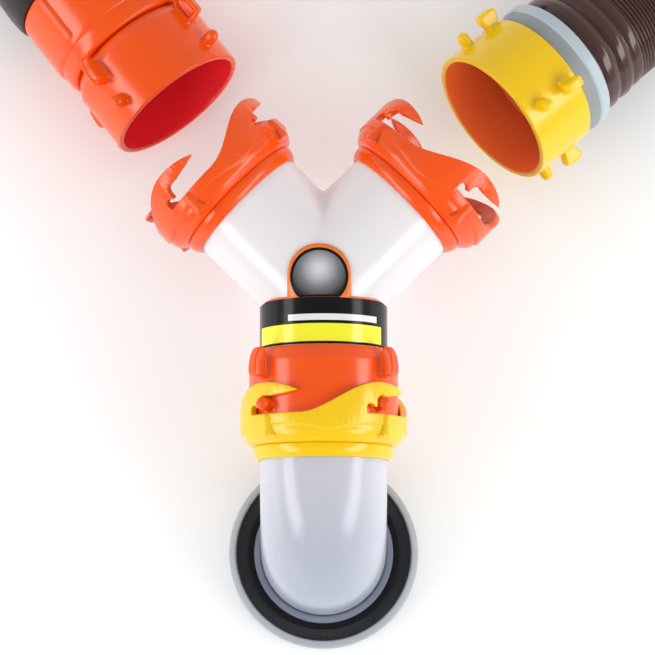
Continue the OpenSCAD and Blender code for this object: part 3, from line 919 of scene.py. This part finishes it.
wye_lug = piece(
    "wye_lug_moulded",
    placed(lug_fitting(False, PETAL_TAB, lean=5),
           along_y(WYE_MOUTH_Y) @ turn(180, "X") @ turn(90, "Z")),
    ORANGE, "wye_lug", ["wye_lug_fitting"], [ORANGE_BORE_PAINTED_GLOW])
left_lug = piece(
    "left_lug_moulded",
    placed(lug_fitting(False, PETAL_TAB, pocket=True), AT_LEFT @ turn(LEFT_PHASE, "Z")),
    ORANGE, "left_lug", ["left_lug_fitting"], [ORANGE_BORE_PAINTED_GLOW])
right_lug = piece(
    "right_lug_moulded",
    placed(lug_fitting(True, FAN_TAB), AT_RIGHT @ turn(RIGHT_PHASE, "Z")),
    YELLOW, "right_lug", ["right_lug_fitting"], [YELLOW_BORE_PAINTED_GLOW])


# ---------------------------------------------------------------- elbow

LEVEL_STEPS = (54, 58, 62)


def elbow_shell():
    """Flanged foot, quarter bend and level run, outside and inside, as one closed shell."""
    def bend(angle, radius):
        a = math.radians(angle)
        centre = (0, BEND_R - BEND_R * math.cos(a), AXIS_Z - BEND_R + BEND_R * math.sin(a))
        return centre, (0, math.sin(a), math.cos(a)), radius

    foot = [(45.4, ELBOW_BOTTOM), (45.4, 24.6), (44.8, 25.4), (42.2, 25.4), (TUBE_R + 0.6, 26.0),
            (TUBE_R, 27.2)]
    outer = [((0, 0, z), (0, 0, 1), r) for r, z in foot]
    outer += [bend(a, TUBE_R) for a in range(0, 91, 2)]
    end_back = ELBOW_COLLAR_Y + FLANGE_BACK
    end_front = ELBOW_COLLAR_Y + FLANGE_FRONT
    level = (0, 1, 0)
    outer += [((0, y, AXIS_Z), level, TUBE_R) for y in (*LEVEL_STEPS, end_back)]
    outer += [((0, end_back, AXIS_Z), level, FLANGE_R), ((0, end_front, AXIS_Z), level, FLANGE_R)]
    inner = [((0, end_front, AXIS_Z), level, TUBE_BORE)]
    inner += [((0, y, AXIS_Z), level, TUBE_BORE) for y in reversed(LEVEL_STEPS)]
    inner += [bend(a, TUBE_BORE) for a in range(90, -1, -2)]
    inner += [((0, 0, ELBOW_BOTTOM), (0, 0, 1), TUBE_BORE)]
    return rings(outer + inner, 96, side=(1, 0, 0))


elbow_mesh = mesh_from("elbow", *elbow_shell())
bm = bmesh.new()
bm.from_mesh(elbow_mesh)
bmesh.ops.recalc_face_normals(bm, faces=bm.faces)
bm.to_mesh(elbow_mesh)
bm.free()
smooth(elbow_mesh)
piece("elbow_shell", elbow_mesh, MILK_ELBOW_SHADED, "elbow", ["elbow_body"])


# ---------------------------------------------------------------- wye

BLEND = 3.0
ARMS = [(Vector((0, -1, 0)), JUNCTION_Y - WYE_MOUTH_Y - LUG_FLANGE_FRONT)]
tilt = math.radians(ARM_ANGLE)
for arm_side in (-1, 1):
    ARMS.append((Vector((arm_side * math.sin(tilt), math.cos(tilt), 0)),
                 ARM_COLLAR + FLANGE_FRONT))


def wye_distance(points):
    """Distance from each point to the three centrelines, softly joined where they meet."""
    away = []
    for direction, _ in ARMS:
        u = np.array(direction)
        t = np.clip(points @ u, 0, None)
        away.append(np.linalg.norm(points - t[:, None] * u, axis=1))
    near = away[0]
    for other in away[1:]:
        h = np.clip(BLEND - np.abs(near - other), 0, None) / BLEND
        near = np.minimum(near, other) - h * h * BLEND / 4
    return near


def wye_skin(radius, voxel, inward):
    """Skin of the three joined tubes at that radius, open at its three ends."""
    shape = Shape()
    for direction, length in ARMS:
        rotation = Vector((0, 0, 1)).rotation_difference(direction).to_matrix().to_4x4()
        body = lathe([(0.3, -2), (radius, -2), (radius, length + 4), (0.3, length + 4)], 64, 0.1)
        shape.add(*body, rotation)
    ball = lathe([(0.3, -radius)] + [
        (max(0.3, radius * math.cos(math.radians(a))), radius * math.sin(math.radians(a)))
        for a in range(-84, 90, 6)] + [(0.3, radius)], 64, 0.01)
    shape.add(*ball)
    mesh = softened(shape.mesh("wye_source"), voxel, 3)
    points = corners_of(mesh) / MM
    for _ in range(6):
        value = wye_distance(points) - radius
        slope = np.stack([
            (wye_distance(points + step) - wye_distance(points - step)) / 0.02
            for step in np.eye(3) * 0.01], axis=1)
        size = np.maximum((slope ** 2).sum(axis=1), 0.2)
        along = np.max([points @ np.array(d) - n for d, n in ARMS], axis=0)
        wall = (along < 2.5)[:, None]
        points = np.where(wall, points - (value / size)[:, None] * slope, points)
    mesh.vertices.foreach_set("co", (points * MM).ravel())
    mesh.update()
    bm = bmesh.new()
    bm.from_mesh(mesh)
    ends = [f for f in bm.faces
            if any(f.calc_center_median().dot(d) > (n - 0.3) * MM for d, n in ARMS)]
    bmesh.ops.delete(bm, geom=ends, context="FACES")
    if inward:
        bmesh.ops.reverse_faces(bm, faces=bm.faces)
    bpy.data.meshes.remove(mesh)
    return taken_apart(bm, MM)


wye = Shape()
wye.add(*wye_skin(TUBE_R, 1.7, inward=False))
wye.add(*wye_skin(TUBE_BORE, 2.0, inward=True))
to_junction = Matrix.Translation((0, JUNCTION_Y, AXIS_Z))
for end_number, (direction, length) in enumerate(ARMS):
    rotation = Vector((0, 0, 1)).rotation_difference(direction).to_matrix().to_4x4()
    lip_r = LUG_FLANGE_R if end_number == 0 else FLANGE_R
    depth = LUG_FLANGE_BACK - LUG_FLANGE_FRONT if end_number == 0 else 3.0
    wye.add(*lathe([(TUBE_BORE, length - depth), (lip_r, length - depth), (lip_r, length),
                    (TUBE_BORE, length)], 96, 0.4), rotation)
piece("wye_shell", wye.mesh("wye", to_junction), MILK_WYE, "wye", ["wye_body"])


# ---------------------------------------------------------------- label

LABEL_FRONT = 126.0
LABEL_BACK = 156.0
BADGE = Vector((-2.7, 169))
BADGE_R = 20.0
MEDAL_DROP = 0.9
MEDAL_R = 18.3
FILM_R = TUBE_R + 0.45
FILM_T = 0.2
ORANGE_EDGE_Y = LABEL_BACK - 1.1
YELLOW_Y = (127.4, 138.6)
YELLOW_ANGLES = (-74, 63)
WHITE_Y = (140.6, 144.6)
WHITE_ANGLES = (-33, 55)


def film(name, colour, gloss=0.5):
    """Printed film of one colour."""
    mat = gloss_plastic(name, colour, 0.16, cloud=0.02, grain=0.02, edge=0.0)
    mat.node_tree.nodes["Principled BSDF"].inputs["Specular IOR Level"].default_value = gloss
    return mat


FILM_BLACK = film("film_black", (0.004, 0.004, 0.004), 0.25)
FILM_ORANGE = film("film_orange", (0.92, 0.20, 0.025))
FILM_YELLOW = film("film_yellow", (0.98, 0.95, 0.03))
FILM_WHITE = film("film_white", (0.86, 0.86, 0.86))


def badge_film():
    """Plain round medallion: a soft pale centre that darkens towards its rim."""
    mat, tree, shader, coords = material("film_badge")
    away = tree.nodes.new("ShaderNodeVectorMath")
    away.operation = "DISTANCE"
    away.inputs[1].default_value = (BADGE.x * MM, (BADGE.y + 4) * MM, (AXIS_Z + TUBE_R) * MM)
    tree.links.new(coords, away.inputs[0])
    ramp = tree.nodes.new("ShaderNodeValToRGB")
    ramp.color_ramp.elements[0].position = 0.15
    ramp.color_ramp.elements[0].color = (0.66, 0.68, 0.71, 1)
    ramp.color_ramp.elements[1].position = 1.0
    ramp.color_ramp.elements[1].color = (0.012, 0.013, 0.015, 1)
    middle = ramp.color_ramp.elements.new(0.62)
    middle.color = (0.20, 0.21, 0.23, 1)
    link_nodes(tree, (spread(tree, away.outputs["Value"], 0, 1, 0, 0.019), ramp.inputs["Fac"]),
               (ramp.outputs["Color"], shader.inputs["Base Color"]))
    tree.links.new(spread(tree, noise(tree, coords, 240), 0.14, 0.22), shader.inputs["Roughness"])
    return mat


FILM_BADGE = badge_film()
FILMS = [FILM_BLACK, FILM_ORANGE, FILM_YELLOW, FILM_WHITE, FILM_BADGE]
BLACK_I, ORANGE_I, YELLOW_I, WHITE_I, BADGE_I = range(5)


def band_zone(angle, y):
    """Which film shows at that angle from the top, in degrees, and that y."""
    if y > ORANGE_EDGE_Y:
        across = abs(FILM_R * math.sin(math.radians(angle)) - BADGE.x)
        return BLACK_I if across < 14 else ORANGE_I
    for (front, back), (left, right), film_index in (
            (YELLOW_Y, YELLOW_ANGLES, YELLOW_I), (WHITE_Y, WHITE_ANGLES, WHITE_I)):
        if front < y < back and left < angle < right:
            return film_index
    return BLACK_I


def top_height(x, y):
    """Height of the wye's outer skin above its centrelines at a point near its middle."""
    low, high = 20.0, 48.0
    for _ in range(24):
        z = (low + high) / 2
        inside = wye_distance(np.array([[x, y - JUNCTION_Y, z]]))[0] < TUBE_R
        low, high = (z, high) if inside else (low, z)
    return low


def badge_reach(angle):
    """Reach of the medallion and of its outline, whose sides run straight down, at an angle
    about the medallion's centre; the band's edge cuts both."""
    across, up = math.cos(angle), math.sin(angle)
    medal = MEDAL_R
    outline = MEDAL_DROP * up + math.sqrt(BADGE_R ** 2 - (MEDAL_DROP * across) ** 2)
    if up < 0:
        cut = (BADGE.y - MEDAL_DROP - LABEL_BACK + 0.8) / -up
        outline = min(BADGE_R / max(abs(across), 0.01), cut)
        medal = min(medal, cut)
    return medal, max(outline, medal + 0.05)


def label():
    """The wrap-round band in rows and columns, and the medallion in rings round its middle."""
    shape = Shape()
    zones = []
    ys = [LABEL_FRONT, YELLOW_Y[0], 130, 133, 136, YELLOW_Y[1], WHITE_Y[0], 142.6, WHITE_Y[1],
          148, 152, ORANGE_EDGE_Y, LABEL_BACK]
    angles = [-150 + 4 * i for i in range(19)] + [-72 + 3 * i for i in range(13)]
    angles += [-33 + 4 * i for i in range(22)] + [59] + [66 + 4 * i for i in range(22)]
    angles = sorted({*angles, *YELLOW_ANGLES, *WHITE_ANGLES})
    verts = [(FILM_R * math.sin(math.radians(a)), y, AXIS_Z + FILM_R * math.cos(math.radians(a)))
             for y in ys for a in angles]
    faces = []
    wide = len(angles)
    for i in range(len(ys) - 1):
        for k in range(wide - 1):
            faces.append([i * wide + k, i * wide + k + 1, (i + 1) * wide + k + 1,
                          (i + 1) * wide + k])
            zones.append(band_zone((angles[k] + angles[k + 1]) / 2, (ys[i] + ys[i + 1]) / 2))
    shape.add(verts, faces)
    shares = [0.02, 0.2, 0.4, 0.6, 0.78, 0.9, 0.95, 1.0, 1.5, 2.0]
    segments = 96
    middle = BADGE - Vector((0, MEDAL_DROP))
    verts = []
    for share in shares:
        for k in range(segments):
            a = 2 * math.pi * (k + 0.5) / segments
            medal, outline = badge_reach(a)
            reach = medal * min(share, 1) + max(share - 1, 0) * (outline - medal)
            x, y = middle.x + reach * math.cos(a), middle.y + reach * math.sin(a)
            verts.append((x, y, AXIS_Z + top_height(x, y) + 0.7))
    faces = [list(range(segments))]
    zones.append(BADGE_I)
    for i in range(len(shares) - 1):
        for k in range(segments):
            m = (k + 1) % segments
            faces.append([i * segments + m, i * segments + k, (i + 1) * segments + k,
                          (i + 1) * segments + m])
            zones.append(BADGE_I if shares[i] < 0.9 else BLACK_I if shares[i] < 1
                         else ORANGE_I)
    shape.add(verts, faces)
    mesh = shape.mesh("label")
    for m in FILMS:
        mesh.materials.append(m)
    mesh.polygons.foreach_set("material_index", zones)
    return mesh


label_piece = piece("label_film", label(), None, "wye", ["wye_label"])
thicken = label_piece.modifiers.new("film", "SOLIDIFY")
thicken.thickness = FILM_T * MM
thicken.offset = -1


# ---------------------------------------------------------------- ring adapter

adapter = Shape()
adapter.add(*lathe([
    (38, 0), (44, 0), (46.5, 4), (49.4, 4), (50.6, 6), (49.4, 8), (49.4, 9), (50.6, 11),
    (49.4, 13), (49.4, 14), (50.6, 16), (49.4, 18), (49.4, 22), (56.9, 22), (56.9, 31.4),
    (56.2, 31.4), (56.2, 26), (49.5, 26), (49.5, 31), (46.1, 31), (46.1, 18.4), (38, 18.4)],
    160, 0.5))
boss = lathe([(0.1, -0.5), (1.9, -0.5), (1.9, 0.8), (0.1, 0.8)], 24, 0.25)
for k in range(10):
    adapter.add(*boss, turn((k + 0.5) * 36, "Z") @ Matrix.Translation((52.9, 0, 26)))
# The hub's inner wall gets the near-black second material: painted shade.
piece("adapter_channel", painted(adapter.mesh("adapter"), above=26.5, within=50), BLACK,
      "adapter", ["adapter_body"], [BLACK_HUB_PAINTED_SHADE])

gasket = Shape().add(*lathe([
    (57, 0), (60.5, 0), (62, 2), (62, 28), (61.2, 31.4), (59.4, 33.4), (57.8, 34),
    (57.2, 33.4), (57, 32)], 160, 1.0))
piece("adapter_rim", gasket.mesh("gasket"), GREY_RUBBER, "adapter",
      ["adapter_gasket"])

lock = Shape().add(*lathe([
    (TUBE_R + 0.4, 25.7), (46, 25.7), (46, 29.6), (45.2, 30.4), (42, 30.4),
    (TUBE_R + 0.4, 29.4)], 160, 0.5))
piece("adapter_lock", lock.mesh("lock"), SLATE, "adapter",
      ["adapter_lock_ring"])


# ---------------------------------------------------------------- left hose end

def lug_tube(back):
    """Profile of the flanged tube inside a lug fitting."""
    return [(TUBE_BORE, -back), (TUBE_R, -back), (TUBE_R, -LUG_FLANGE_BACK),
            (LUG_FLANGE_R, -LUG_FLANGE_BACK), (LUG_FLANGE_R, -LUG_FLANGE_FRONT),
            (TUBE_BORE, -LUG_FLANGE_FRONT)]


CUFF_RIB_R = 3.8
CUFF_RIB_AT = 47.3
CUFF_RIB_PHASE = 39

cuff = Shape()
cuff.add(*lathe(lug_tube(52), 128, 0.3))
cuff.add(*lathe([
    (TUBE_BORE, -60), (44.6, -62), (44.6, -LEFT_CUFF_BACK), (48.4, -LEFT_CUFF_BACK),
    (49, -LEFT_CUFF_BACK + 2), (49, -66), (48.2, -63.8), (47.2, -62.8), (47.4, -58),
    (46.9, -54), (45.8, -51.8), (44.4, -51), (TUBE_BORE, -51)], 160, 1.4))
for k in range(4):
    cuff.add(*capsule(CUFF_RIB_R, 38), turn(CUFF_RIB_PHASE + 90 * k, "Z")
             @ Matrix.Translation((CUFF_RIB_AT, 0, 1 - LEFT_CUFF_BACK)))
left_cuff = piece("left_cuff_moulded", cuff.mesh("left_cuff", AT_LEFT), ORANGE, "left_hose",
                  ["left_hose_cuff"])

sleeve = Shape().add(*lathe([
    (43.4, -LEFT_SLEEVE_BACK), (47, -LEFT_SLEEVE_BACK), (49.2, -146), (51.2, -135),
    (51.8, -118), (51.4, -109), (50.2, -LEFT_CUFF_BACK), (43.4, -LEFT_CUFF_BACK)], 128, 1.2))
left_sleeve = piece("left_sleeve_moulded", sleeve.mesh("left_sleeve", AT_LEFT), BLACK_HOSE,
                    "left_hose", ["left_hose_sleeve"])


# ---------------------------------------------------------------- right hose end

right = Shape()
right.add(*lathe(lug_tube(53.6), 128, 0.3))
right.add(*lathe([
    (TUBE_BORE, -RIGHT_CUFF_BACK), (41, -RIGHT_CUFF_BACK), (42.2, -98), (41.6, -94),
    (40.0, -91.4), (40.0, -90.6),
    (42.6, -89.2), (43.4, -86), (42.4, -81.6), (40.2, -79.2), (40.2, -78.4), (43.0, -77),
    (43.9, -73), (43.0, -68.4), (41.0, -65.8), (41.0, -64.8), (43.6, -63.6), (43.6, -62.4),
    (TUBE_R, -62.4), (TUBE_R, -53.6), (TUBE_BORE, -53.6)], 160, 1.0))
right_cuff = piece("right_cuff_moulded", right.mesh("right_cuff", AT_RIGHT), BROWN_HOSE,
                   "right_hose", ["right_hose_cuff"])

ring_shape = Shape().add(*lathe([
    (TUBE_R + SEAT_GAP, -62.3), (46.6, -62.3), (47.6, -61.3), (47.6, -55.2), (46.6, -53.6),
    (45.0, -45.1), (44.1, -45.1), (44.1, -50.6), (TUBE_R + SEAT_GAP, -50.6)], 160, 0.5))
# The ring's front face gets the darker second material: painted shade.
ring_mesh = painted(ring_shape.mesh("right_ring"), above=-54, within=46.7)
right_ring = piece("right_ring_moulded", placed(ring_mesh, AT_RIGHT), GREY,
                   "right_hose", ["right_lock_ring"], [GREY_FACE_PAINTED_SHADE])


# ---------------------------------------------------------------- far ends

def tail_cuff(name, tail, mat, body):
    """Far cuff of a hose: the flanged tube that holds its collar, and a ribbed grip."""
    shape = Shape()
    shape.add(*lathe([
        (TUBE_BORE, 28), (TUBE_R, 28), (TUBE_R, TAIL_FLANGE_BACK), (FLANGE_R, TAIL_FLANGE_BACK),
        (FLANGE_R, TAIL_FLANGE_FRONT), (TUBE_BORE, TAIL_FLANGE_FRONT)], 96, 0.3))
    shape.add(*lathe([
        (TUBE_BORE, 0), (44.5, 0), (46, 1.5), (46, 10), (44.8, 11), (44.8, 12), (46, 13),
        (46, 24), (43.6, 28.5), (TUBE_BORE, 28.5)], 96, 0.9))
    for k in range(12):
        shape.add(*capsule(1.6, 9), turn(30 * k, "Z") @ Matrix.Translation((45.6, 0, 14)))
    return piece(f"{name}_moulded", shape.mesh(name, at_tail(tail)), mat, body, [name])


left_tail_cuff = tail_cuff("left_tail_cuff", LEFT_TAIL, ORANGE, "left_hose")
right_tail_cuff = tail_cuff("right_tail_cuff", RIGHT_TAIL, BROWN_HOSE, "right_hose")

for node_name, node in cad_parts.items():
    if node_name.endswith("seal"):
        node.data.materials.clear()
        node.data.materials.append(RUBBER)


# ---------------------------------------------------------------- floor and light

FLOOR_HALF = 6000
FLOOR_SHADOW_REACH = 0.16
FLOOR_GLOW_AND_SHADOW = (0.12, 0.40)

floor_mat, floor_tree, floor_shader, floor_coords = material("floor")
tone = blend_colours(floor_tree, noise(floor_tree, floor_coords, 3), (0.79, 0.80, 0.80),
                     (0.81, 0.82, 0.82))
floor_tree.links.new(tone, floor_shader.inputs["Base Color"])
floor_shader.inputs["Roughness"].default_value = 0.9
floor_shader.inputs["Specular IOR Level"].default_value = 0.2
floor_shader.inputs["Emission Color"].default_value = (1, 1, 1, 1)
# The floor's glow drops near the kit by ambient occlusion: painted contact shadows.
floor_tree.links.new(
    spread(floor_tree, openness(floor_tree, FLOOR_SHADOW_REACH, 12), *FLOOR_GLOW_AND_SHADOW, 0.35, 0.95),
    floor_shader.inputs["Emission Strength"])
floor_mesh = mesh_from("floor", [
    (-FLOOR_HALF, -FLOOR_HALF, 0), (FLOOR_HALF, -FLOOR_HALF, 0), (FLOOR_HALF, FLOOR_HALF, 0),
    (-FLOOR_HALF, FLOOR_HALF, 0)], [[0, 1, 2, 3]])
floor_mesh.materials.append(floor_mat)
floor = new_object("floor", floor_mesh)
floor.location.z = -0.0005

ZENITH = 0.40
HORIZON = 0.88
FRONT = 0.55
world = bpy.data.worlds.new("studio")
world.use_nodes = True
sky = world.node_tree
background = sky.nodes["Background"]
background.inputs["Color"].default_value = (1, 1, 1, 1)
towards_sky = sky.nodes.new("ShaderNodeSeparateXYZ")
sky.links.new(sky.nodes.new("ShaderNodeTexCoord").outputs["Generated"], towards_sky.inputs[0])
upward = spread(sky, towards_sky.outputs["Z"], HORIZON, ZENITH, 0, 1)
frontward = spread(sky, towards_sky.outputs["Y"], FRONT, 1.0, -1, 0.1)
sky.links.new(computed(sky, "MULTIPLY", upward, frontward), background.inputs["Strength"])
bpy.context.scene.world = world


KIT_MIDDLE = Vector((0, 0.12, 0.09))
BOX_DISTANCE = 1.7
BOX_WIDTH = 1.8
BOX_HEIGHT = 0.62


def softbox(name, direction, radiance):
    data = bpy.data.lights.new(name, "AREA")
    data.shape = "RECTANGLE"
    data.size = BOX_WIDTH
    data.size_y = BOX_HEIGHT
    data.energy = radiance * math.pi * BOX_WIDTH * BOX_HEIGHT
    light = bpy.data.objects.new(name, data)
    towards = Vector(direction).normalized()
    light.location = KIT_MIDDLE + towards * BOX_DISTANCE
    light.rotation_euler = towards.to_track_quat("Z", "Y").to_euler()
    bpy.context.scene.collection.objects.link(light)


softbox("softbox_left", (-0.87, -0.30, 0.46), 4.7)
softbox("softbox_right", (0.85, -0.30, 0.50), 5.2)

bpy.context.scene.view_settings.view_transform = "Standard"
